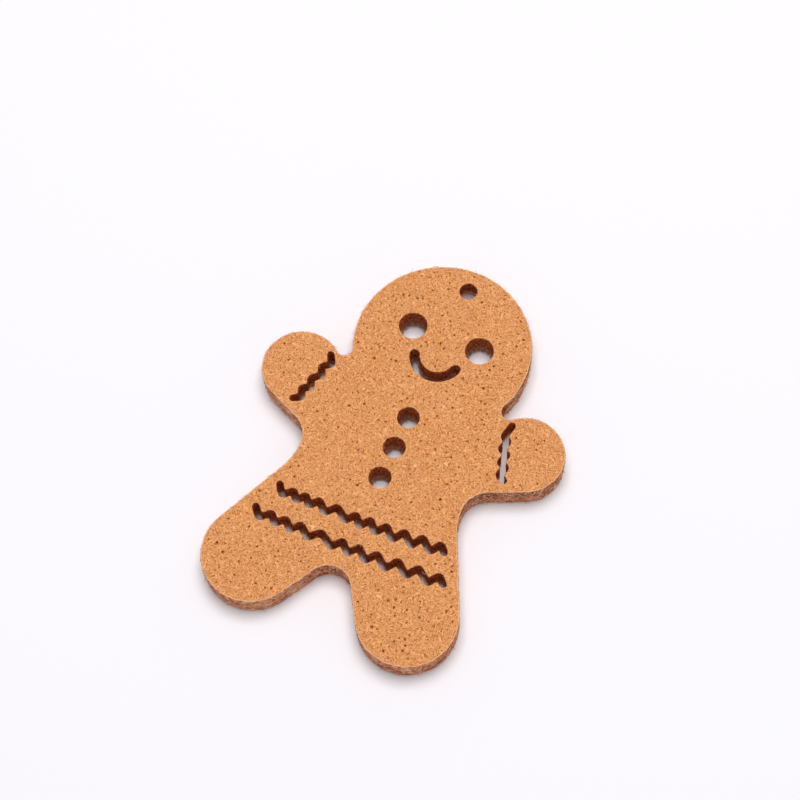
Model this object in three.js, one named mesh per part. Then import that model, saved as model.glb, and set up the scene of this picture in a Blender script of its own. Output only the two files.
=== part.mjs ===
// Gingerbread-man hanging ornament, cut by laser right through one sheet of thick needled felt.
// Millimetres, +Z up. It lies on its back face at z = 0 with the head towards +Y, and the origin
// is under the middle of its outline. The outline and the holes are drawn about the head's centre.

import * as THREE from 'three';

const degree = Math.PI / 180;

// The sheet
const feltThickness = 5.0;
const chordError = 0.01;

// Head, arms and the notch between them
const headRadius = 15.65;
const handRadius = 6.9;
const neckGap = 2.25;
const armDroop = 32 * degree;
const neckNotchRadius = 1.4;

// Armpits and waist
const waistWidth = 30.3;
const armpitRadius = 4.8;
const armpitDrop = 1.55;
const waistCurveRadius = 11.0;

// Legs
const footRadius = 8.7;
const feetGap = 11.0;
const footBelowArmpit = 21.0;
const crotchRadius = 3.9;
const crotchBelowFoot = 0.65;

// Hanging hole, eyes and mouth
const hangingHoleRadius = 1.55;
const hangingHoleMargin = 2.45;
const eyeRadius = 2.48;
const eyeAside = 6.3;
const eyeAboveCentre = 1.75;
const smileRadius = 4.05;
const smileWidth = 1.75;
const smileBelowCentre = 1.9;
const smileHalfAngle = 73 * degree;

// Buttons
const buttonRadius = 1.95;
const buttonPitch = 6.0;
const buttonsBelowCentre = 14.6;
const buttonCount = 3;

// Wavy slots across the legs' top
const waistSlotWidth = 1.25;
const waistWaveHeight = 1.6;
const upperSlotMargin = 2.1;
const lowerSlotMargin = 2.45;
const lowerSlotAboveCrotch = 3.75;
const waistSlotPitch = 5.2;

// Wavy slots across the wrists
const wristSlotWidth = 1.25;

// Every turn of a wavy slot is rounded on its outer side and sharp on its inner side
const turnRadius = 0.95;

// Turns of both waist slots, from the left end to the right one: the first number is a share of the
// slot's half length from the middle line, the second a share of the wave's height
const waistSlotShares = [
	[ - 0.985, 0.5 ], [ - 0.91, - 0.5 ], [ - 0.81, 0.43 ], [ - 0.74, - 0.5 ], [ - 0.66, 0.46 ],
	[ - 0.585, - 0.48 ], [ - 0.5, 0.47 ], [ - 0.39, - 0.53 ], [ - 0.285, 0.53 ], [ - 0.14, - 0.5 ],
	[ - 0.06, 0.55 ], [ 0.03, - 0.5 ], [ 0.11, 0.62 ], [ 0.215, - 0.5 ], [ 0.3, 0.65 ],
	[ 0.425, - 0.5 ], [ 0.51, 0.8 ], [ 0.64, - 0.35 ], [ 0.72, 0.95 ], [ 0.855, - 0.2 ],
	[ 0.935, 1.04 ], [ 1, 0.3 ],
];

// Turns of the wrist slots, from the shoulder down: shares of the hand's radius, outwards and
// upwards from the hand's centre
const leftWristShares = [
	[ - 0.54, 0.61 ], [ - 0.68, 0.375 ], [ - 0.46, 0.205 ], [ - 0.58, 0 ], [ - 0.35, - 0.19 ],
	[ - 0.46, - 0.405 ], [ - 0.25, - 0.52 ], [ - 0.36, - 0.74 ], [ - 0.16, - 0.855 ],
];
const rightWristShares = [
	[ - 0.585, 0.6 ], [ - 0.66, 0.26 ], [ - 0.51, 0.145 ], [ - 0.6, - 0.08 ], [ - 0.4, - 0.18 ],
	[ - 0.485, - 0.42 ], [ - 0.3, - 0.5 ], [ - 0.39, - 0.74 ], [ - 0.22, - 0.84 ],
];

function circle( x, y, radius ) {

	return { centre: new THREE.Vector2( x, y ), radius };

}

function pointAt( { centre, radius }, angle ) {

	return new THREE.Vector2( Math.cos( angle ), Math.sin( angle ) ).multiplyScalar( radius ).add( centre );

}

// Points along an arc, close enough that no chord leaves it by more than the chord error
function arcPoints( { centre, radius }, from, to, clockwise ) {

	const curve = new THREE.EllipseCurve( centre.x, centre.y, radius, radius, from, to, clockwise );
	const chord = Math.sqrt( 8 * radius * chordError );
	return curve.getPoints( Math.max( 2, Math.ceil( curve.getLength() / chord ) ) );

}

// The outline is a chain of circles. On the figure's right half, in order from the head's top:
// head, neck notch, hand, armpit, waist, foot and crotch
const head = circle( 0, 0, headRadius );
const armReach = headRadius + neckGap + handRadius;
const hand = circle( armReach * Math.cos( armDroop ), - armReach * Math.sin( armDroop ), handRadius );
const armpit = circle(
	waistWidth / 2 + armpitRadius,
	hand.centre.y - handRadius - armpitDrop - armpitRadius,
	armpitRadius
);
const waist = circle( waistWidth / 2 + waistCurveRadius, armpit.centre.y, waistCurveRadius );
const foot = circle( feetGap / 2 + footRadius, armpit.centre.y - footBelowArmpit, footRadius );
const crotch = circle( 0, foot.centre.y - crotchBelowFoot, Math.min( crotchRadius, feetGap / 2 ) );

// The notch's round bottom touches the head and the hand from outside, and is never narrower than
// the gap that it closes
function notchBetween( a, b, radius ) {

	const span = b.centre.clone().sub( a.centre );
	const toA = a.radius + radius;
	const toB = b.radius + radius;
	const along = ( toA ** 2 - toB ** 2 + span.lengthSq() ) / ( 2 * span.length() );
	const out = Math.sqrt( Math.max( 0, toA ** 2 - along ** 2 ) );
	const place = new THREE.Vector2( along, out ).rotateAround( new THREE.Vector2(), span.angle() );
	return circle( a.centre.x + place.x, a.centre.y + place.y, radius );

}

const notch = notchBetween( head, hand, Math.max( neckNotchRadius, neckGap / 2 ) );

function directionTo( a, b ) {

	return b.centre.clone().sub( a.centre ).angle();

}

// A straight edge runs from a convex circle to a concave one, and touches them on opposite sides:
// at this angle on the convex one, and half a turn further on the concave one
function crossTangent( convex, concave, side ) {

	const span = concave.centre.distanceTo( convex.centre );
	return directionTo( convex, concave ) + side * Math.acos( ( convex.radius + concave.radius ) / span );

}

const underArm = crossTangent( hand, armpit, 1 );
const bodySide = crossTangent( foot, waist, - 1 );
const innerLeg = crossTangent( foot, crotch, 1 );

const rightHalf = [
	[ head, Math.PI / 2, directionTo( head, notch ), true ],
	[ notch, directionTo( notch, head ), directionTo( notch, hand ), false ],
	[ hand, directionTo( hand, notch ), underArm, true ],
	[ armpit, underArm + Math.PI, Math.PI, false ],
	[ waist, Math.PI, bodySide + Math.PI, false ],
	[ foot, bodySide, innerLeg, true ],
	[ crotch, innerLeg + Math.PI, Math.PI / 2, false ],
];

function outlinePoints() {

	const right = rightHalf.flatMap( ( arc ) => arcPoints( ...arc ) );
	const left = right.map( ( p ) => new THREE.Vector2( - p.x, p.y ) );
	return [ ...left, ...right.reverse() ];

}

// How far the body's straight side lies from the middle line at a given height
function sideAt( y ) {

	const high = pointAt( waist, bodySide + Math.PI );
	const low = pointAt( foot, bodySide );
	return high.x + ( low.x - high.x ) * ( y - high.y ) / ( low.y - high.y );

}

function normalAngle( from, to ) {

	return to.clone().sub( from ).angle() + Math.PI / 2;

}

// One long edge of a wavy slot, on the left of a route walked from its first turn to its last, and
// the round end that closes it
function slotEdge( route, width ) {

	const half = width / 2;
	const last = route.length - 1;
	const start = pointAt( { centre: route[ 0 ], radius: half }, normalAngle( route[ 0 ], route[ 1 ] ) );
	const points = [ start ];
	for ( let i = 1; i < last; i ++ ) {

		const before = normalAngle( route[ i - 1 ], route[ i ] );
		const after = normalAngle( route[ i ], route[ i + 1 ] );
		const turn = Math.atan2( Math.sin( after - before ), Math.cos( after - before ) );
		const stretch = 1 / Math.cos( turn / 2 );
		const bisector = before + turn / 2;
		if ( turn > 0 ) {

			points.push( pointAt( { centre: route[ i ], radius: half * stretch }, bisector ) );

		} else {

			const inwards = { centre: route[ i ], radius: ( half - turnRadius ) * stretch };
			const bend = { centre: pointAt( inwards, bisector ), radius: turnRadius };
			points.push( ...arcPoints( bend, before, after, true ) );

		}

	}

	const end = normalAngle( route[ last - 1 ], route[ last ] );
	return [ ...points, ...arcPoints( { centre: route[ last ], radius: half }, end, end - Math.PI, true ) ];

}

function wavySlot( route, width ) {

	return [ ...slotEdge( route, width ), ...slotEdge( [ ...route ].reverse(), width ) ];

}

function waistSlot( y, margin ) {

	const halfLength = sideAt( y ) - margin - waistSlotWidth / 2;
	const route = waistSlotShares.map( ( [ across, up ] ) => new THREE.Vector2(
		across * halfLength,
		y + up * waistWaveHeight
	) );
	return wavySlot( route, waistSlotWidth );

}

function wristSlot( side, shares ) {

	const route = shares.map( ( [ out, up ] ) => new THREE.Vector2(
		side * ( hand.centre.x + out * handRadius ),
		hand.centre.y + up * handRadius
	) );
	return wavySlot( route, wristSlotWidth );

}

function roundHole( x, y, radius ) {

	return arcPoints( circle( x, y, radius ), 0, 2 * Math.PI, false );

}

// The mouth is a bent slot with round ends
function smileSlot() {

	const half = smileWidth / 2;
	const middle = circle( 0, - smileBelowCentre, smileRadius );
	const left = - Math.PI / 2 - smileHalfAngle;
	const right = - Math.PI / 2 + smileHalfAngle;
	const end = ( angle ) => ( { centre: pointAt( middle, angle ), radius: half } );
	return [
		...arcPoints( { ...middle, radius: smileRadius + half }, left, right, false ),
		...arcPoints( end( right ), right, right + Math.PI, false ),
		...arcPoints( { ...middle, radius: smileRadius - half }, right, left, true ),
		...arcPoints( end( left ), left + Math.PI, left + 2 * Math.PI, false ),
	];

}

const lowerSlotY = crotch.centre.y + crotch.radius + lowerSlotAboveCrotch;
const upperSlotY = lowerSlotY + waistSlotPitch;

const holes = [
	roundHole( 0, headRadius - hangingHoleMargin - hangingHoleRadius, hangingHoleRadius ),
	roundHole( - eyeAside, eyeAboveCentre, eyeRadius ),
	roundHole( eyeAside, eyeAboveCentre, eyeRadius ),
	smileSlot(),
	waistSlot( upperSlotY, upperSlotMargin ),
	waistSlot( lowerSlotY, lowerSlotMargin ),
	wristSlot( - 1, leftWristShares ),
	wristSlot( 1, rightWristShares ),
];
for ( let i = 0; i < buttonCount; i ++ ) {

	holes.push( roundHole( 0, - buttonsBelowCentre - i * buttonPitch, buttonRadius ) );

}

// Neighbouring arcs share an end, so a point that repeats the one before it is left out
function closedLoop( points ) {

	const apart = chordError / 2;
	return points.filter( ( p, i ) => p.distanceTo( points[ ( i + points.length - 1 ) % points.length ] ) > apart );

}

const figure = new THREE.Shape( closedLoop( outlinePoints() ) );
figure.holes = holes.map( ( points ) => new THREE.Path( closedLoop( points ) ) );

const feltBody = new THREE.Mesh(
	new THREE.ExtrudeGeometry( figure, { depth: feltThickness, bevelEnabled: false } ),
	new THREE.MeshStandardMaterial( { color: 0xde9964, roughness: 0.95, metalness: 0 } )
);
feltBody.name = 'felt_body';
feltBody.position.y = ( footRadius - foot.centre.y - headRadius ) / 2;

const ornament = new THREE.Group();
ornament.add( feltBody );

export default ornament;
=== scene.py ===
import math

import bmesh
import bpy
import numpy as np
from mathutils import Matrix, Vector, geometry, kdtree, noise


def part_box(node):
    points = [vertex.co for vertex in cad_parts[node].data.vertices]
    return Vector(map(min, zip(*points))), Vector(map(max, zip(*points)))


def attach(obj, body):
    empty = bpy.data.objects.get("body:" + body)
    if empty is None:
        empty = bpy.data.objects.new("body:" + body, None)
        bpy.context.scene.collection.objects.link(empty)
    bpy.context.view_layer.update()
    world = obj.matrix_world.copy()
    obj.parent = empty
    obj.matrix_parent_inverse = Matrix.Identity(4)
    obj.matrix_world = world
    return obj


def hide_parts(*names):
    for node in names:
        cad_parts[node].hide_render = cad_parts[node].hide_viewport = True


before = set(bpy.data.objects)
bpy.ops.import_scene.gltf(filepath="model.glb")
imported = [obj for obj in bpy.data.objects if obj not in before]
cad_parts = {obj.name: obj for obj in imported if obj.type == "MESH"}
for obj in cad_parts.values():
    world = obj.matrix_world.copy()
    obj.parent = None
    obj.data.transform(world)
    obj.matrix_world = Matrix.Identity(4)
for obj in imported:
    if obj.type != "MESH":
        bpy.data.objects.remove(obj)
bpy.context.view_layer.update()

# Felt body
# One layer of stiff needle-punched felt, five millimetres thick, cut right through by a laser. The
# needles leave fine dark pits in both faces. The laser scorches the cut walls and softens the rim.
# Its edges are numbered longest first: the outline is 0, the waist slots 1 and 2, the wrist slots 3
# and 4, the mouth 5, the eyes 6 and 7, the buttons 8 to 10 and the hanging hole 11.
MM = 0.001
rim_radius = 0.22 * MM
under_radius = 0.28 * MM
outer_cut, clean_cut, shade_fibre_hole, low_fibre_slot = 0.0, 1.0, 2.0, 3.0
cut_kinds = [outer_cut, *[low_fibre_slot] * 3, clean_cut, *[shade_fibre_hole] * 6, clean_cut]
outline_lean = 0.12 * MM
button_lean = -0.22 * MM
hanging_lean = 0.5 * MM
cut_leans = {0: outline_lean, 8: button_lean, 9: button_lean, 10: button_lean, 11: hanging_lean}
edge_spacing = 0.24 * MM
least_edge_points = 24
cusp_rounds, normal_rounds, corner_rounds = 2, 3, 6
face_spacing = 0.55 * MM
face_clearance = 0.5 * face_spacing
cut_wander = 0.03 * MM
wander_size = 1.5 * MM
wall_relief = 0.05 * MM
relief_size, relief_seed = 0.45 * MM, 7.3
face_swell = 0.05 * MM
swell_size, swell_seed = 4 * MM, 3.1
ripple_size, ripple_seed = 1.3 * MM, 5.7
ripple_share = 0.6
back_lift, back_share = 1.2, 0.4
pit_spacing = 0.85 * MM
pit_radius = 0.28 * MM
pit_clearance = 2.5 * pit_radius
pit_surround = 1.9 * pit_radius
pit_sizes, pit_slims = (0.65, 1.35), (0.5, 1.0)
pit_sides = 6
pit_depth = 0.07 * MM
shallowest_pit, deep_pit_rarity = 0.1, 2.6
corner_reach = 2.5 * MM
wall_steps = 10
rim_steps = 4

felt_low, felt_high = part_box("felt_body")
felt_thickness = felt_high.z - felt_low.z
chance = np.random.default_rng(12)


def cut_edges(node):
    """The closed edges of the felt's front face, longest first, each with the felt on its left."""
    plate = bmesh.new()
    plate.from_mesh(node.data)
    bmesh.ops.remove_doubles(plate, verts=plate.verts, dist=0.01 * MM)
    plate.normal_update()
    following = {}
    for face in plate.faces:
        if face.normal.z > 0.5:
            for corner in face.loops:
                if corner.link_loop_radial_next.face.normal.z < 0.5:
                    following[corner.vert] = corner.link_loop_next.vert
    edges = []
    while following:
        vert, after = following.popitem()
        edge = [vert.co.xy[:]]
        while after in following:
            edge.append(after.co.xy[:])
            after = following.pop(after)
        edges.append(np.array(edge))
    plate.free()
    return sorted(edges, key=lambda edge: -np.ptp(edge, axis=0).sum())


def blunted(rows, times):
    """The rows of a closed ring, each averaged with its neighbours that many times."""
    for _ in range(times):
        rows = (np.roll(rows, 1, 0) + 2 * rows + np.roll(rows, -1, 0)) / 4
    return rows


def evenly(edge, spacing):
    """The same closed edge with its points at even steps, and its sharp cusps a little blunted."""
    closed = np.vstack([edge, edge[:1]])
    along = np.concatenate([[0], np.cumsum(np.linalg.norm(np.diff(closed, axis=0), axis=1))])
    count = max(least_edge_points, round(along[-1] / spacing))
    at = np.linspace(0, along[-1], count, endpoint=False)
    points = np.column_stack([np.interp(at, along, closed[:, axis]) for axis in (0, 1)])
    return blunted(points, cusp_rounds)


def outwards(edge):
    """Vectors out of the felt at each point of a closed edge, a unit long but shorter at a cusp."""
    along = np.roll(edge, -1, 0) - np.roll(edge, 1, 0)
    across = np.column_stack([along[:, 1], -along[:, 0]])
    return blunted(across / np.linalg.norm(across, axis=1, keepdims=True), normal_rounds)


def corner_shade_share(edge, reach):
    """How tight an inner corner each point of an edge is: 1 in a tight one, 0 on a bulge. It sets
    painted shade.
    """
    step = max(1, round(reach / np.linalg.norm(edge[1] - edge[0])))
    into, onwards = edge - np.roll(edge, step, 0), np.roll(edge, -step, 0) - edge
    turn = into[:, 0] * onwards[:, 1] - into[:, 1] * onwards[:, 0]
    along = np.linalg.norm(into, axis=1) * np.linalg.norm(onwards, axis=1)
    return blunted(np.clip(-turn / along, 0, 1), corner_rounds)


def noise_at(points, size, seed=0.0):
    """Smooth noise from about -1 to 1 at each 3-D point, with lumps of that size."""
    shift = Vector((seed, seed, seed))
    return np.array([noise.noise(Vector(p) / size + shift) for p in points])


def in_felt(points, edges):
    """True for each 2-D point that lies in the felt: inside the outline and outside every hole."""
    inside = np.zeros(len(points), bool)
    for edge in edges:
        for (x0, y0), (x1, y1) in zip(edge, np.roll(edge, -1, 0)):
            crosses = (y0 > points[:, 1]) != (y1 > points[:, 1])
            at = x0 + (points[crosses, 1] - y0) * (x1 - x0) / (y1 - y0) if y1 != y0 else 0
            inside[crosses] ^= points[crosses, 0] < at
    return inside


def distances(points, others):
    """How far each 2-D point is from the nearest of the others."""
    tree = kdtree.KDTree(len(others))
    for i, (x, y) in enumerate(others):
        tree.insert((x, y, 0), i)
    tree.balance()
    return np.array([tree.find((x, y, 0))[2] for x, y in points])


def spread(spacing, edges, clearance):
    """Points spread at random over the felt, no two closer than the spacing."""
    low, high = edges[0].min(0), edges[0].max(0)
    tries_per_place = 3
    count = int(np.prod(high - low) / spacing**2 * tries_per_place)
    tries = low + chance.random((count, 2)) * (high - low)
    tries = tries[in_felt(tries, edges)]
    tries = tries[distances(tries, np.vstack(edges)) > clearance]
    kept, cells = [], {}
    for x, y in tries:
        column, row = int(x // spacing), int(y // spacing)
        near = [cells.get((column + i, row + j), ()) for i in (-1, 0, 1) for j in (-1, 0, 1)]
        if all(math.dist((x, y), p) >= spacing for cell in near for p in cell):
            cells.setdefault((column, row), []).append((x, y))
            kept.append((x, y))
    return np.array(kept)


def face_points(edges):
    """Inner points of one face, needle pits with a ring round each and others between them.

    The second result is how deep a pit each point is, as a share of the usual depth.
    """
    pits = spread(pit_spacing, edges, pit_clearance)
    sizes = chance.uniform(*pit_sizes, len(pits))
    turns = np.linspace(0, 2 * math.pi, pit_sides, endpoint=False)
    leans = chance.uniform(0, math.pi, len(pits))
    slims = chance.uniform(*pit_slims, len(pits))
    along = np.column_stack([np.cos(leans), np.sin(leans)]) * (sizes * pit_radius)[:, None]
    across = np.column_stack([-along[:, 1], along[:, 0]]) * slims[:, None]
    rings = pits[:, None] + np.cos(turns)[:, None] * along[:, None]
    rings = (rings + np.sin(turns)[:, None] * across[:, None]).reshape(-1, 2)
    loose = spread(face_spacing, edges, face_clearance)
    loose = loose[distances(loose, pits) > pit_surround]
    depths = chance.random(len(pits)) ** deep_pit_rarity
    depths = sizes * (shallowest_pit + (1 - shallowest_pit) * depths)
    points = np.vstack([pits, rings, loose])
    return points, np.concatenate([depths, np.zeros(len(rings) + len(loose))])


def cut_rings(edge, order):
    """Rings of points up one cut edge, from back to front, and how far each turns in."""
    rim = np.linspace(0, math.pi / 2, rim_steps + 1)
    rim_in, rim_up = 1 - np.cos(rim), np.sin(rim)
    turns_in = np.concatenate([rim_in[::-1], np.zeros(wall_steps - 2), rim_in])
    under = under_radius if order == 0 else rim_radius
    wall = np.linspace(under, felt_thickness - rim_radius, wall_steps)[1:-1]
    levels = [under * (1 - rim_up[::-1]), wall, felt_thickness - rim_radius * (1 - rim_up)]
    levels = np.concatenate(levels)
    insets = turns_in * np.where(levels < felt_thickness / 2, under, rim_radius)
    insets += cut_leans.get(order, 0.0) * (1 - levels / felt_thickness)
    out = outwards(edge)
    wander = cut_wander * noise_at(np.column_stack([edge, np.zeros(len(edge))]), wander_size)
    rings = []
    for level, inset, turn_in in zip(levels, insets, turns_in):
        heights = np.full(len(edge), level)
        rough = noise_at(np.column_stack([edge, heights]), relief_size, relief_seed)
        rough = wall_relief * rough * (1 - turn_in)
        moved = edge + out * (wander + rough - inset)[:, None]
        rings.append(np.column_stack([moved, heights]))
    return rings, turns_in


def filled_face(rims):
    """The inner points of one face, how deep a pit each is, and triangles that fill it."""
    inner, depths = face_points(rims)
    links, start = [], 0
    for rim in rims:
        links += [(start + i, start + (i + 1) % len(rim)) for i in range(len(rim))]
        start += len(rim)
    points = np.vstack([*rims, inner])
    found = geometry.delaunay_2d_cdt([Vector(p / MM) for p in points], links, [], 0, 1e-5)
    assert len(found[0]) == len(points), (len(found[0]), len(points))
    triangles = np.array(found[2])
    middles = points[triangles].mean(axis=1)
    return inner, depths, triangles[in_felt(middles, rims)]


def felt_mesh(name, edges):
    """The felt as one closed mesh. Its vertices carry marks that the material reads."""
    points, faces = [], []
    marks = {"scorch": [], "hole": [], "pit": [], "slow": []}
    backs, fronts = [], []
    total = 0
    for order, edge in enumerate(edges):
        rings, turns_in = cut_rings(edge, order)
        count = len(edge)
        for low in range(total, total + (len(rings) - 1) * count, count):
            high = low + count
            after = [(i, (i + 1) % count) for i in range(count)]
            faces += [(low + i, low + j, high + j, high + i) for i, j in after]
        points += rings
        marks["scorch"].append(np.repeat(1 - turns_in, count))
        marks["hole"].append(np.full(count * len(rings), cut_kinds[order]))
        marks["pit"].append(np.zeros(count * len(rings)))
        # The inner-corner share sets painted shade on the walls.
        marks["slow"].append(np.tile(corner_shade_share(edge, corner_reach), len(rings)))
        backs.append(total + np.arange(count))
        total += count * len(rings)
        fronts.append(total - count + np.arange(count))
    walls = np.vstack(points)
    for rims, level, inwards in ((backs, 0.0, 1), (fronts, felt_thickness, -1)):
        inner, depths, triangles = filled_face([walls[rim][:, :2] for rim in rims])
        names = np.concatenate([*rims, total + np.arange(len(inner))])
        faces += names[triangles[:, ::-inwards]].tolist()
        points.append(np.column_stack([inner, level + inwards * pit_depth * depths]))
        for label, values in marks.items():
            values.append(depths if label == "pit" else np.zeros(len(inner)))
        total += len(inner)
    points = np.vstack(points)
    flat = np.column_stack([points[:, :2], np.zeros(len(points))])
    swell = noise_at(flat, swell_size, swell_seed)
    swell += ripple_share * noise_at(flat, ripple_size, ripple_seed)
    share = points[:, 2] / felt_thickness
    points[:, 2] += face_swell * (share * swell + (1 - share) * (back_lift + back_share * swell))
    mesh = bpy.data.meshes.new(name)
    mesh.from_pydata(points.tolist(), [], faces)
    mesh.polygons.foreach_set("use_smooth", np.ones(len(mesh.polygons), bool))
    for label, values in marks.items():
        made = mesh.attributes.new(label, "FLOAT", "POINT")
        made.data.foreach_set("value", np.concatenate(values))
    mesh.update()
    return mesh


felt_edges = [evenly(edge, edge_spacing) for edge in cut_edges(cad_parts["felt_body"])]
felt_sheet = bpy.data.objects.new("felt_sheet", felt_mesh("felt_sheet", felt_edges))
bpy.context.scene.collection.objects.link(felt_sheet)


class Wire:
    """An output of a node. Arithmetic on wires adds Math nodes to the tree that they belong to."""

    def __init__(self, tree, socket=None):
        self.tree = tree
        self.socket = socket

    def node(self, kind, settings=None, inputs=None, output=0):
        """Adds a node with its settings, then its inputs by name or number. Gives one output."""
        made = self.tree.nodes.new(kind)
        for name, value in (settings or {}).items():
            setattr(made, name, value)
        for name, value in (inputs or {}).items():
            values = value if isinstance(value, list) else [value]
            for one in values:
                if isinstance(one, Wire):
                    self.tree.links.new(one.socket, made.inputs[name])
                else:
                    made.inputs[name].default_value = one
        return Wire(self.tree, made.outputs[output] if made.outputs else None)

    def math(self, operation, *values, clamp=False):
        """The result of that operation on the values."""
        settings = {"operation": operation, "use_clamp": clamp}
        return self.node("ShaderNodeMath", settings, dict(enumerate(values)))

    def __add__(self, other):
        return self.math("ADD", self, other)

    __radd__ = __add__

    def __sub__(self, other):
        return self.math("SUBTRACT", self, other)

    def __rsub__(self, other):
        return self.math("SUBTRACT", other, self)

    def __mul__(self, other):
        return self.math("MULTIPLY", self, other)

    __rmul__ = __mul__

    def clamped(self):
        """The same value held between 0 and 1."""
        return self.math("ADD", self, 0.0, clamp=True)

    def mixed(self, first, second):
        """A colour that goes from the first to the second as this wire goes from 0 to 1."""
        return self.node("ShaderNodeMix", {"data_type": "RGBA"}, {0: self, 6: first, 7: second}, 2)

    def over(self, low, high):
        """0 below low, 1 above high, and smooth between them."""
        settings = {"interpolation_type": "SMOOTHSTEP"}
        return self.node("ShaderNodeMapRange", settings, {0: self, 1: low, 2: high})


def felt_material():
    """Tan needled felt on the faces, and its scorched cut on the walls."""
    tan = (0.8, 0.33, 0.113, 1)
    deep_tan = (0.38, 0.11, 0.02, 1)
    light_tan = (0.98, 0.52, 0.245, 1)
    pit_red = (0.3, 0.075, 0.006, 1)
    pit_dark = (0.12, 0.012, 0.0, 1)
    painted_rim_highlight = (1.0, 0.65, 0.4, 1)
    cut_dark = (0.2, 0.045, 0.024, 1)
    cut_brown = (0.6, 0.205, 0.088, 1)
    cut_light = (1.0, 0.6, 0.42, 1)
    cut_maroon = (0.075, 0.012, 0.012, 1)
    hole_shade_dark = (0.13, 0.024, 0.01, 1)
    hole_brown = (0.8, 0.23, 0.08, 1)
    swirl_size = 1.3 * MM
    swirl_reach = 1.1 * MM
    grain_size, cloud_size = 0.21 * MM, 7 * MM
    singe_size, stain_size, patch_size = 0.42 * MM, 1.1 * MM, 5 * MM
    fleck_size = 0.32 * MM
    layer_squash = 2.2
    material = bpy.data.materials.new("needled_felt")
    material.use_nodes = True
    tree = material.node_tree
    tree.nodes.clear()
    start = Wire(tree)
    place = start.node("ShaderNodeTexCoord", output="Object")

    drift = {"Vector": place, "Scale": 1 / swirl_size, "Detail": 0.0}
    drift = start.node("ShaderNodeTexNoise", inputs=drift, output="Color")
    combed = {0: drift, 1: (swirl_reach, swirl_reach, swirl_reach), 2: place}
    combed = start.node("ShaderNodeVectorMath", {"operation": "MULTIPLY_ADD"}, combed)

    def speckle(size):
        """Soft noise with lumps of that size, drawn out a little in swirls."""
        inputs = {"Vector": combed, "Scale": 1 / size, "Detail": 1.0}
        return start.node("ShaderNodeTexNoise", inputs=inputs)

    def tangle(size, width, salt):
        """Thin curved fibres that cross each other: 1 along a fibre and 0 between."""
        inputs = {"Vector": combed, "Scale": 1 / size, "Detail": 1.0, "W": salt}
        level = start.node("ShaderNodeTexNoise", {"noise_dimensions": "4D"}, inputs)
        return level.math("ABSOLUTE", level - 0.5).over(width, 0.0)

    def attribute(name):
        """A mark that the mesh carries at its vertices."""
        return start.node("ShaderNodeAttribute", {"attribute_name": name}, output="Fac")

    pit, scorch, hole, slow = (attribute(name) for name in ("pit", "scorch", "hole", "slow"))
    in_hole = hole.clamped()

    # On the faces the fibres that lie on top are lighter, and the gaps between them darker.
    grain = speckle(grain_size)
    cloud = speckle(cloud_size)
    lift = tangle(0.34 * MM, 0.11, 1.0) + tangle(0.28 * MM, 0.12, 2.0) - tangle(0.31 * MM, 0.1, 3.0)
    tone = (grain - 0.5) * 1.7 + (lift - 0.4) * 0.47 + (cloud - 0.5) * 0.08
    face = tone.over(-0.7, 0.1).mixed(deep_tan, tan)
    face = tone.over(0.0, 0.7).mixed(face, light_tan)
    face = pit.over(0.0, 0.35).mixed(face, pit_red)
    face = pit.over(0.4, 1.1).mixed(face, pit_dark)
    # A pale line along the rounded rim of each face is a painted highlight, painted weaker in the
    # holes where shade falls.
    face = (scorch.over(0.0, 0.15) * (0.6 - in_hole * 0.45)).mixed(face, painted_rim_highlight)

    # The outer wall is singed in layers. In tight inner corners it is painted darker and more
    # mottled: painted shade.
    layers = {0: combed, 1: (1, 1, layer_squash)}
    layers = start.node("ShaderNodeVectorMath", {"operation": "MULTIPLY"}, layers)
    singed = {"Vector": layers, "Scale": 1 / singe_size, "Detail": 2.0}
    singed = start.node("ShaderNodeTexNoise", inputs=singed)
    stains = (speckle(stain_size) - 0.5) * 0.4 + (speckle(patch_size) - 0.5) * 0.25
    # Painted shade: darker in tight inner corners.
    soot = singed * 0.75 + stains + 0.125 + (singed - 0.58) * slow
    wall = soot.over(0.34, 0.48).mixed(cut_dark, cut_brown)
    wall = soot.over(0.46, 0.64).mixed(wall, cut_light)

    # The fume leaves dark flecks on its upper half, round the right hand and the neck.
    x, y, z = (start.node("ShaderNodeSeparateXYZ", inputs={0: place}, output=k) for k in range(3))
    fumed = x.over(8 * MM, 13 * MM) * y.over(-12 * MM, -6 * MM)
    fumed = fumed * z.over(0.35 * felt_thickness, 0.7 * felt_thickness)
    flecks = speckle(fleck_size).over(0.52, 0.58) * fumed
    wall = (flecks * 0.9).mixed(wall, cut_maroon)

    # The walls of the holes are painted darker than the outer wall, over the scorch all cut walls
    # share: painted shade. Towards their foot they are painted paler: painted light reflected from
    # the floor.
    painted_hole_wall = singed.over(0.4, 0.58).mixed(hole_shade_dark, hole_brown)
    foot_light_mask = z.over(0.4 * felt_thickness, 0.0)
    # Painted light: paler towards the foot of the hole walls.
    painted_hole_wall = (foot_light_mask * (singed + 0.3)).mixed(painted_hole_wall, cut_light)
    wall = in_hole.mixed(wall, painted_hole_wall)

    colour = scorch.over(0.45, 0.9).mixed(face, wall)
    height = grain * 0.6 + lift * 0.35
    bump = {"Height": height, "Distance": 0.1 * MM, "Strength": 0.7}
    bump = start.node("ShaderNodeBump", inputs=bump)
    surface = start.node(
        "ShaderNodeBsdfPrincipled",
        inputs={
            "Base Color": colour,
            "Roughness": 0.95,
            "Specular IOR Level": 0.1,
            "Specular Tint": light_tan,
            "Sheen Weight": 0.05,
            "Sheen Roughness": 0.6,
            "Sheen Tint": tan,
            "Normal": bump,
        },
    )
    start.node("ShaderNodeOutputMaterial", inputs={"Surface": surface})
    return material


needled_felt = felt_material()
felt_sheet.data.materials.append(needled_felt)
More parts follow.
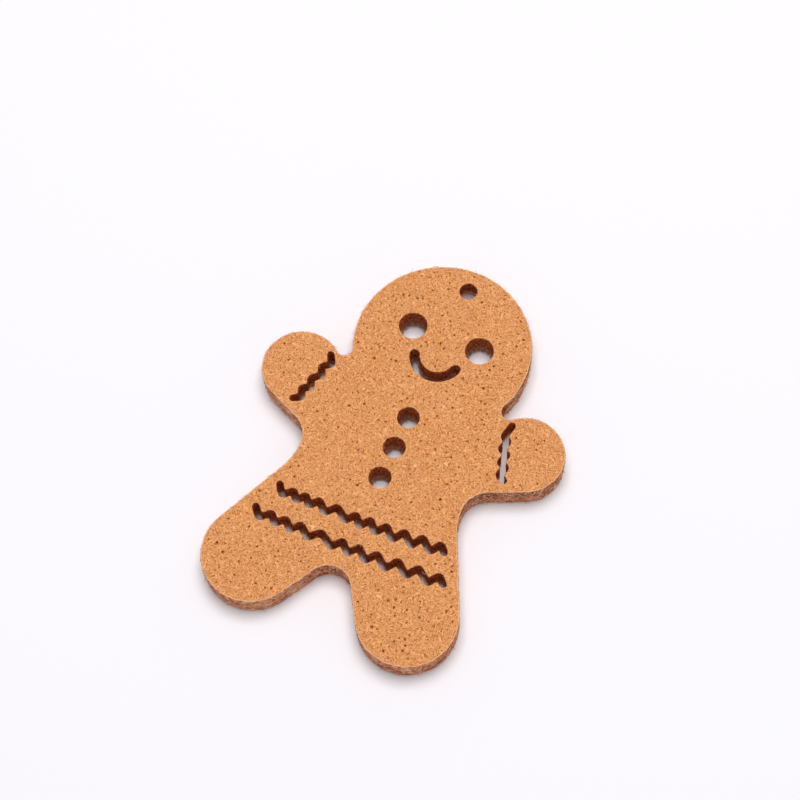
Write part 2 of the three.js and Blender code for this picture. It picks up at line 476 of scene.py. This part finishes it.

# Fuzz
# Fine fibres that the needles pull up lie loose and curved on both faces of the felt, and a few stand
# out of the cut edge. Dark fibres packed low in the holes darken their floor: painted shade. Fibres
# packed low in the slots hide most of their floor. All are caught in the felt.
fibre_length = 1.1 * MM
fibre_radius = 0.028 * MM
fibre_rise = 0.05 * MM
back_rise_share = 0.2
fibre_sides, fibre_steps = 3, 4
fibre_sink = -2.0
fibre_scales = 0.6, 1.3
face_seed, edge_seed = 4, 9
face_fibres_per_area = 3.0 / MM**2
edge_fibre_length = 0.42 * MM
edge_fibres_per_area = 2.2 / MM**2
# Dark fibres low in the holes stand in for the shade on the hole floor: painted shade.
hole_fibre_length = 1.1 * MM
hole_fibres_per_area = 36.0 / MM**2
slot_fibre_length = 0.9 * MM
slot_fibres_per_area = 14.0 / MM**2
edge_lean, hole_lean = 0.7, 1.3
lowest_root = 0.3 * MM
low_fibre_reach = 1.3 * MM
floor_gap = 0.06 * MM


def fuzz_tree():
    """Scatters short curved fibres over part of the felt. Gives the tree and its inputs' names.

    Least and Most bound how much a place faces the way given. Hole is the kind of edge it is at.
    Lowest and Highest bound its height. Gap is how far the fibres are kept off the floor.
    """
    tree = bpy.data.node_groups.new("fuzz", "GeometryNodeTree")
    floats = ("Least", "Most", "Hole", "Lowest", "Highest", "Gap")
    floats += ("Density", "Length", "Radius", "Rise", "Lean")
    kinds = {"Felt": "Geometry", "Facing": "Vector", **dict.fromkeys(floats, "Float")}
    kinds |= {"Seed": "Int", "Material": "Material"}
    names = {}
    for name, kind in kinds.items():
        made = tree.interface.new_socket(name, in_out="INPUT", socket_type=f"NodeSocket{kind}")
        names[name] = made.identifier
    tree.interface.new_socket("Fibres", in_out="OUTPUT", socket_type="NodeSocketGeometry")
    start = Wire(tree)
    given = {name: start.node("NodeGroupInput", output=name) for name in names}
    normal = start.node("GeometryNodeInputNormal")
    facing = {0: normal, 1: given["Facing"]}
    facing = start.node("ShaderNodeVectorMath", {"operation": "DOT_PRODUCT"}, facing, 1)
    hole = {"data_type": "FLOAT"}
    hole = start.node("GeometryNodeInputNamedAttribute", hole, {"Name": "hole"})
    chosen = facing.math("GREATER_THAN", facing, given["Least"])
    chosen = chosen * facing.math("LESS_THAN", facing, given["Most"])
    apart = hole.math("ABSOLUTE", hole - given["Hole"])
    place = start.node("GeometryNodeInputPosition")
    height = start.node("ShaderNodeSeparateXYZ", inputs={0: place}, output=2)
    chosen = chosen * apart.math("LESS_THAN", apart, 0.5)
    chosen = chosen * height.math("GREATER_THAN", height, given["Lowest"])
    chosen = chosen * height.math("LESS_THAN", height, given["Highest"])
    scatter = {"Mesh": given["Felt"], "Selection": chosen}
    scatter |= {name: given[name] for name in ("Density", "Seed")}
    points = start.node("GeometryNodeDistributePointsOnFaces", inputs=scatter)
    upright = Wire(tree, points.socket.node.outputs["Rotation"])
    ring = {"Resolution": fibre_sides, "Radius": given["Radius"]}
    ring = start.node("GeometryNodeCurvePrimitiveCircle", inputs=ring)

    def along_fibre(x, y, height):
        """A point on a fibre: shares of its length along and across it, and its height."""
        flat = {0: (x, y, 0), "Scale": given["Length"]}
        flat = start.node("ShaderNodeVectorMath", {"operation": "SCALE"}, flat)
        raised = start.node("ShaderNodeCombineXYZ", inputs={"Z": height})
        return start.node("ShaderNodeVectorMath", {"operation": "ADD"}, {0: flat, 1: raised})

    shapes = []
    sunk = given["Radius"] * fibre_sink
    bends = (0.3, -0.45, 0.15, 0.6, -0.1)
    hooks = (0.0, 0.2, -0.35, 0.3, 0.5)
    lifts = (1.0, 1.6, 0.7, 1.2, 2.2)
    for bend, hook, lift in zip(bends, hooks, lifts):
        places = {
            "Resolution": fibre_steps,
            "Start": along_fibre(-0.5, 0, sunk),
            "Middle": along_fibre(0.1, bend, given["Rise"] * (2 * lift)),
            "End": along_fibre(0.5, hook, sunk),
        }
        line = start.node("GeometryNodeCurveQuadraticBezier", inputs=places)
        tube = {"Curve": line, "Profile Curve": ring, "Fill Caps": True}
        tube = start.node("GeometryNodeCurveToMesh", inputs=tube)
        shapes.append(start.node("GeometryNodeGeometryToInstance", inputs={"Geometry": tube}))
    shapes = start.node("GeometryNodeJoinGeometry", inputs={"Geometry": shapes})

    def chosen_between(kind, low, high, salt):
        """A random number for each fibre."""
        sockets = {"FLOAT": (2, 3, 1), "INT": (4, 5, 2)}[kind]
        inputs = {sockets[0]: low, sockets[1]: high, "Seed": given["Seed"] + salt}
        return start.node("FunctionNodeRandomValue", {"data_type": kind}, inputs, sockets[2])

    turn = chosen_between("FLOAT", 0.0, 2 * math.pi, 1)
    lean = chosen_between("FLOAT", 0.0, given["Lean"], 2)
    angles = start.node("ShaderNodeCombineXYZ", inputs={"Y": lean, "Z": turn})
    turned = start.node("FunctionNodeEulerToRotation", inputs={0: angles})
    turned = {"Rotation": upright, "Rotate By": turned}
    turned = start.node("FunctionNodeRotateRotation", {"rotation_space": "LOCAL"}, turned)
    placing = {
        "Points": points,
        "Instance": shapes,
        "Pick Instance": True,
        "Instance Index": chosen_between("INT", 0, len(bends) - 1, 3),
        "Rotation": turned,
        "Scale": chosen_between("FLOAT", *fibre_scales, 4),
    }
    fibres = start.node("GeometryNodeInstanceOnPoints", inputs=placing)
    shading = {"Geometry": fibres, "Name": "shade", "Value": chosen_between("FLOAT", 0.0, 1.0, 5)}
    shade = {"data_type": "FLOAT", "domain": "INSTANCE"}
    fibres = start.node("GeometryNodeStoreNamedAttribute", shade, shading)
    solid = start.node("GeometryNodeRealizeInstances", inputs={"Geometry": fibres})
    lifted = 0.5 * (height + height.math("SQRT", height * height + given["Gap"] * given["Gap"]))
    flat = start.node("ShaderNodeVectorMath", {"operation": "MULTIPLY"}, {0: place, 1: (1, 1, 0)})
    lifted = start.node("ShaderNodeCombineXYZ", inputs={2: lifted})
    lifted = start.node("ShaderNodeVectorMath", {"operation": "ADD"}, {0: flat, 1: lifted})
    lying = start.node("GeometryNodeSetPosition", inputs={"Geometry": solid, "Position": lifted})
    finished = {"Geometry": lying, "Material": given["Material"]}
    finished = start.node("GeometryNodeSetMaterial", inputs=finished)
    start.node("NodeGroupOutput", inputs={"Fibres": finished})
    return tree, names


def fibre_material(name, deep, light):
    """One fibre's colour, a little different from fibre to fibre and along each."""
    streak_size = 0.6 * MM
    material = bpy.data.materials.new(name)
    material.use_nodes = True
    material.node_tree.nodes.clear()
    start = Wire(material.node_tree)
    place = start.node("ShaderNodeTexCoord", output="Object")
    shade = start.node("ShaderNodeAttribute", {"attribute_name": "shade"}, output="Fac")
    along = {"Vector": place, "Scale": 1 / streak_size, "Detail": 1.0}
    along = start.node("ShaderNodeTexNoise", inputs=along)
    mixed = (shade * 0.7 + along * 0.3).clamped().mixed((*deep, 1), (*light, 1))
    inputs = {"Base Color": mixed, "Roughness": 0.8, "Specular IOR Level": 0.3}
    surface = start.node("ShaderNodeBsdfPrincipled", inputs=inputs)
    start.node("ShaderNodeOutputMaterial", inputs={"Surface": surface})
    return material


def fuzz(name, **given):
    """One piece of loose fibres, grown on the felt."""
    given |= {"Gap": floor_gap, "Radius": fibre_radius}
    carrier = bpy.data.objects.new(name, felt_sheet.data)
    bpy.context.scene.collection.objects.link(carrier)
    modifier = carrier.modifiers.new("fuzz", "NODES")
    modifier.node_group = fuzz_nodes
    for label, value in given.items():
        modifier[fuzz_names[label]] = value
    grown = carrier.evaluated_get(bpy.context.evaluated_depsgraph_get())
    mesh = bpy.data.meshes.new_from_object(grown)
    mesh.polygons.foreach_set("use_smooth", np.ones(len(mesh.polygons), bool))
    carrier.modifiers.remove(modifier)
    carrier.data = mesh
    mesh.name = name
    return carrier


fuzz_nodes, fuzz_names = fuzz_tree()
loose_fibre = fibre_material("loose_fibre", (0.68, 0.28, 0.1), (1.0, 0.62, 0.34))
singed_fibre = fibre_material("singed_fibre", (0.35, 0.11, 0.05), (0.9, 0.5, 0.27))
# Dark fibres for the painted shade low in the holes.
dark_shade_fibre = fibre_material("dark_shade_fibre", (0.2, 0.06, 0.03), (0.95, 0.55, 0.38))
up, down = (0.0, 0.0, 1.0), (0.0, 0.0, -1.0)
lying_flat = {
    "Least": 0.9,
    "Most": 2.0,
    "Hole": outer_cut,
    "Lowest": -1.0,
    "Highest": 1.0,
    "Density": face_fibres_per_area,
    "Length": fibre_length,
    "Lean": 0.0,
    "Seed": face_seed,
    "Material": loose_fibre,
}
standing_out = {
    "Facing": up,
    "Least": -0.1,
    "Most": 0.8,
    "Lowest": lowest_root,
    "Rise": fibre_rise,
    "Seed": edge_seed,
}
fibres = [
    fuzz("front_fibres", Facing=up, Rise=fibre_rise, **lying_flat),
    fuzz("back_fibres", Facing=down, Rise=fibre_rise * back_rise_share, **lying_flat),
    fuzz(
        "edge_fibres",
        Hole=outer_cut,
        Highest=felt_thickness,
        Density=edge_fibres_per_area,
        Length=edge_fibre_length,
        Lean=edge_lean,
        Material=singed_fibre,
        **standing_out,
    ),
    # Painted shade: dark fibres packed low in the holes darken their floor.
    fuzz(
        "hole_shade_fibres",
        Hole=shade_fibre_hole,
        Highest=low_fibre_reach,
        Density=hole_fibres_per_area,
        Length=hole_fibre_length,
        Lean=hole_lean,
        Material=dark_shade_fibre,
        **standing_out,
    ),
    fuzz(
        "low_slot_fibres",
        Hole=low_fibre_slot,
        Highest=low_fibre_reach,
        Density=slot_fibres_per_area,
        Length=slot_fibre_length,
        Lean=hole_lean,
        Material=singed_fibre,
        **standing_out,
    ),
]
for piece in (felt_sheet, *fibres):
    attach(piece, "root")
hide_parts("felt_body")

# Camera
# It looks down on the felt as the photograph does, from past the left foot, and leans a little.
view_turn = math.radians(28.41)
view_height = math.radians(66.26)
view_lean = math.radians(-4.92)
view_distance = 362.66 * MM
view_middle = Vector((-2.65 * MM, 8.05 * MM, felt_thickness))
lens_per_sensor = 2.6293
nearest_seen = 10 * MM

back = Vector(
    (
        math.sin(view_turn) * math.cos(view_height),
        -math.cos(view_turn) * math.cos(view_height),
        math.sin(view_height),
    )
)
level = Vector((math.cos(view_turn), math.sin(view_turn), 0))
upright = back.cross(level)
right = math.cos(view_lean) * level + math.sin(view_lean) * upright
camera = bpy.data.objects.new("camera", bpy.data.cameras.new("camera"))
camera.data.lens = lens_per_sensor * camera.data.sensor_width
camera.data.clip_start = nearest_seen
turned = Matrix((right, back.cross(right), back)).transposed().to_4x4()
camera.matrix_world = Matrix.Translation(view_middle + view_distance * back) @ turned
bpy.context.scene.collection.objects.link(camera)
bpy.context.scene.camera = camera

# Floor
# A plain white studio surface. Far from the felt it fades into the white of the room.
floor_size = 3.0
fade_from, fade_to = 0.13, 0.5
seen_paper = (0.927, 0.912, 0.955, 1)
lit_paper = (0.9, 0.89, 0.91, 1)
room_white = (0.97, 0.96, 0.99, 1)


def shown(wire):
    """1 where a ray shows the surface, also in gloss or through glass, and 0 where it only lights."""
    kinds = ("Camera", "Glossy", "Transmission")
    rays = [wire.node("ShaderNodeLightPath", output=f"Is {kind} Ray") for kind in kinds]
    return (rays[0] + rays[1] + rays[2]).clamped()


floor_mesh = bpy.data.meshes.new("floor")
corners = [(-floor_size, -floor_size, 0), (floor_size, -floor_size, 0)]
corners += [(floor_size, floor_size, 0), (-floor_size, floor_size, 0)]
floor_mesh.from_pydata(corners, [], [(0, 1, 2, 3)])
floor = bpy.data.objects.new("floor", floor_mesh)
bpy.context.scene.collection.objects.link(floor)
floor_material = bpy.data.materials.new("studio_floor")
floor_material.use_nodes = True
floor_material.node_tree.nodes.clear()
studio = Wire(floor_material.node_tree)
seen = shown(studio)
near = studio.node("ShaderNodeBsdfDiffuse", inputs={"Color": seen.mixed(lit_paper, seen_paper)})
far = studio.node("ShaderNodeEmission", inputs={"Color": room_white})
place = studio.node("ShaderNodeTexCoord", output="Object")
away = studio.node("ShaderNodeVectorMath", {"operation": "LENGTH"}, {0: place}, 1)
away = away.over(fade_from, fade_to)
surface = studio.node("ShaderNodeMixShader", inputs={0: away * seen, 1: near, 2: far})
studio.node("ShaderNodeOutputMaterial", inputs={"Surface": surface})
floor_mesh.materials.append(floor_material)

# Light
# White walls all round, and one large soft lamp overhead, a little behind the head.
room_light = 0.43
lamp_size = 0.65
lamp_power = 8.4
lamp_place = Vector((-0.03, 0.175, 1.0))

world = bpy.data.worlds.new("studio")
world.use_nodes = True
world.node_tree.nodes.clear()
walls = Wire(world.node_tree)
strength = room_light + shown(walls) * (1 - room_light)
room = walls.node("ShaderNodeBackground", inputs={"Strength": strength})
walls.node("ShaderNodeOutputWorld", inputs={"Surface": room})
bpy.context.scene.world = world
bpy.context.scene.view_settings.view_transform = "Standard"

lamp = bpy.data.objects.new("lamp", bpy.data.lights.new("lamp", "AREA"))
lamp.data.size = lamp_size
lamp.data.energy = lamp_power
turned = lamp_place.to_track_quat("Z", "Y").to_matrix().to_4x4()
lamp.matrix_world = Matrix.Translation(lamp_place) @ turned
bpy.context.scene.collection.objects.link(lamp)
